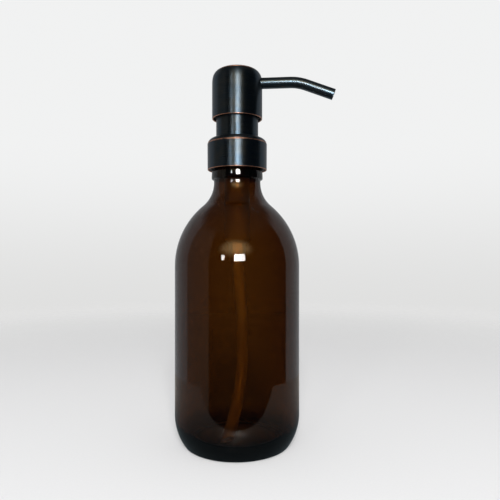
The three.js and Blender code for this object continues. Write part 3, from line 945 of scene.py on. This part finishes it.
def floor_material():
    """Pale matt board that fades into the backdrop far out, and that can be looked through from below."""
    material, tree, shader = new_material("pale_floor")
    grain = stretched_noise(tree, (900, 900, 900), detail=3)
    pale = mixed(tree, grain, (0.74, 0.74, 0.745, 1), (0.78, 0.78, 0.785, 1))
    tree.links.new(pale, shader.inputs["Base Color"])
    shader.inputs["Roughness"].default_value = 0.9
    shader.inputs["Specular IOR Level"].default_value = 0.1
    where = add(tree, "ShaderNodeTexCoord").outputs["Object"]
    far = add(tree, "ShaderNodeVectorMath", {"operation": "LENGTH"}, i0=where).outputs["Value"]
    near = ranged(tree, far, 0.15, 0.8, 1, 0)
    below = add(tree, "ShaderNodeNewGeometry").outputs["Backfacing"]
    seen = math_node(tree, "MULTIPLY", near, math_node(tree, "SUBTRACT", 1.0, below))
    tree.links.new(seen, shader.inputs["Alpha"])
    return material


def mirrored_floor_material():
    """What glass and metal mirror of the floor: dim in the bottle's own shade, brighter further out."""
    material, tree, shader = new_material("floor_glow")
    where = add(tree, "ShaderNodeTexCoord").outputs["Object"]
    far = add(tree, "ShaderNodeVectorMath", {"operation": "LENGTH"}, i0=where).outputs["Value"]
    shader.inputs["Base Color"].default_value = (0, 0, 0, 1)
    tint = mixed(tree, ranged(tree, far, 0.04, 0.1, 0, 1), (0.7, 0.9, 1, 1), (1, 0.93, 0.86, 1))
    tree.links.new(tint, shader.inputs["Emission Color"])
    tree.links.new(ranged(tree, far, 0.035, 0.14, 0.09, 0.27), shader.inputs["Emission Strength"])
    return material


def make_floor():
    floor = disc("floor", 900, 0, floor_material())
    floor.visible_glossy = False
    mirrored = disc("mirrored_floor", 170, -0.2, mirrored_floor_material(), cut_at=82)
    show_only_in_reflections(mirrored)


def make_world():
    """A pale surround. In reflections it is a pale room behind the bottle and a dim one in front of it."""
    world = bpy.data.worlds.new("studio")
    bpy.context.scene.world = world
    world.use_nodes = True
    tree = world.node_tree
    sky = tree.nodes["Background"]
    direction = add(tree, "ShaderNodeTexCoord").outputs["Generated"]
    height = add(tree, "ShaderNodeSeparateXYZ", i0=direction).outputs["Z"]
    flat = add(tree, "ShaderNodeVectorMath", {"operation": "MULTIPLY"}, i0=direction, i1=(1, 1, 0)).outputs[0]
    level = add(tree, "ShaderNodeVectorMath", {"operation": "NORMALIZE"}, i0=flat).outputs[0]
    front = add(tree, "ShaderNodeVectorMath", {"operation": "DOT_PRODUCT"}, i0=level, i1=TOWARDS_CAMERA)
    right = add(tree, "ShaderNodeVectorMath", {"operation": "DOT_PRODUCT"}, i0=level, i1=RIGHT)
    behind = ranged(tree, front.outputs["Value"], -0.15, -0.19, 0, 1)
    beside = ranged(tree, front.outputs["Value"], 0.66, 0.62, 0, 1)
    on_left = ranged(tree, right.outputs["Value"], 0.1, -0.1, 0, 1)
    left_wall = math_node(tree, "MULTIPLY", beside, on_left)
    dim = mixed(tree, left_wall, (0.014, 0.02, 0.026, 1), (0.2, 0.175, 0.15, 1))
    room = mixed(tree, behind, dim, (0.34, 0.35, 0.36, 1))
    overhead = ranged(tree, height, 0.6, 0.8, 0, 1)
    mirrored = mixed(tree, overhead, room, (0.07, 0.066, 0.06, 1))
    lift = ranged(tree, height, -0.12, 0.2, 0, 1)
    backdrop = mixed(tree, lift, (0.745, 0.745, 0.74, 1), (0.88, 0.885, 0.885, 1))
    path = add(tree, "ShaderNodeLightPath").outputs
    glossy_only = math_node(tree, "SUBTRACT", path["Is Glossy Ray"], path["Is Transmission Ray"], clamp=True)
    seen = mixed(tree, path["Is Diffuse Ray"], backdrop, (0.38, 0.38, 0.38, 1))
    tree.links.new(mixed(tree, glossy_only, seen, mirrored), sky.inputs["Color"])
    sky.inputs["Strength"].default_value = 1.0


def make_studio():
    scene = bpy.context.scene
    scene.view_settings.view_transform = "Standard"
    scene.view_settings.look = "None"
    make_world()
    make_floor()
    area_light("key", 2, 27, 2.5, size=(0.8, 0.8), power=70, glossy=False)
    area_light("window_right_a", 1.5, 12, 1.2, size=(0.24, 0.2), power=7)
    area_light("window_right_b", 11, 12, 1.2, size=(0.17, 0.2), power=2.2)
    area_light("window_left", -24, 12, 1.2, size=(0.13, 0.16), power=1.2)
    soft_card("warm_glow", -1, 26, 1.3, size=(1.75, 0.7), colour=(1, 0.66, 0.3, 1), strength=3.0)
    inner_light()
    make_camera()


# ---------- assembly ----------


def make_dispenser():
    metal = bronze("oil_rubbed_bronze", BLUE_BLACK, roughness=0.32, brushing=1.0, anisotropy=0.8)
    smooth_metal = bronze("smooth_bronze", SLATE, roughness=0.3, brushing=0.0, anisotropy=0.0)
    glass = amber_glass()
    black = plastic("black_plastic", (0.02, 0.02, 0.022), roughness=0.45)
    white = plastic("white_plastic", (0.8, 0.79, 0.75), roughness=0.35, subsurface=0.2)
    natural = clear_plastic("natural_plastic", (0.9, 0.88, 0.82), roughness=0.16)
    rubber = plastic("gasket_foam", (0.05, 0.05, 0.05), roughness=0.8)
    wire_steel = steel("spring_steel", (0.6, 0.6, 0.61), roughness=0.25, stretch=(900, 900, 4000))
    ball_steel = steel("ball_steel", (0.7, 0.7, 0.71), roughness=0.08, stretch=(1500, 1500, 1500))

    make_bottle(glass)
    make_collar_shell(metal)
    make_collar_insert(black)
    gasket = ring_piece("neck_washer", "neck_gasket", BORE_R + 0.2, 0.1)
    place(gasket, "pump", "gasket", rubber, "neck_gasket")
    make_pump_housing(natural)
    cage = ring_piece("ball_retainer", "ball_cage", CAGE_HOLE_R, 0.2)
    place(cage, "pump", "white_plastic", white, "ball_cage")
    make_stem_guide(white)
    make_sleeve(metal)
    make_return_spring(wire_steel)
    make_dip_tube(natural)
    make_ball("inlet_check_ball", "inlet_ball", "inlet_ball", ball_steel)
    make_piston(white)
    make_piston_rod(white)
    make_stem(white)
    make_ball("outlet_check_ball", "outlet_ball", "outlet_ball", ball_steel)
    make_actuator_core(black)
    make_actuator_shell(metal)
    make_spout(smooth_metal, white)


make_studio()
make_dispenser()
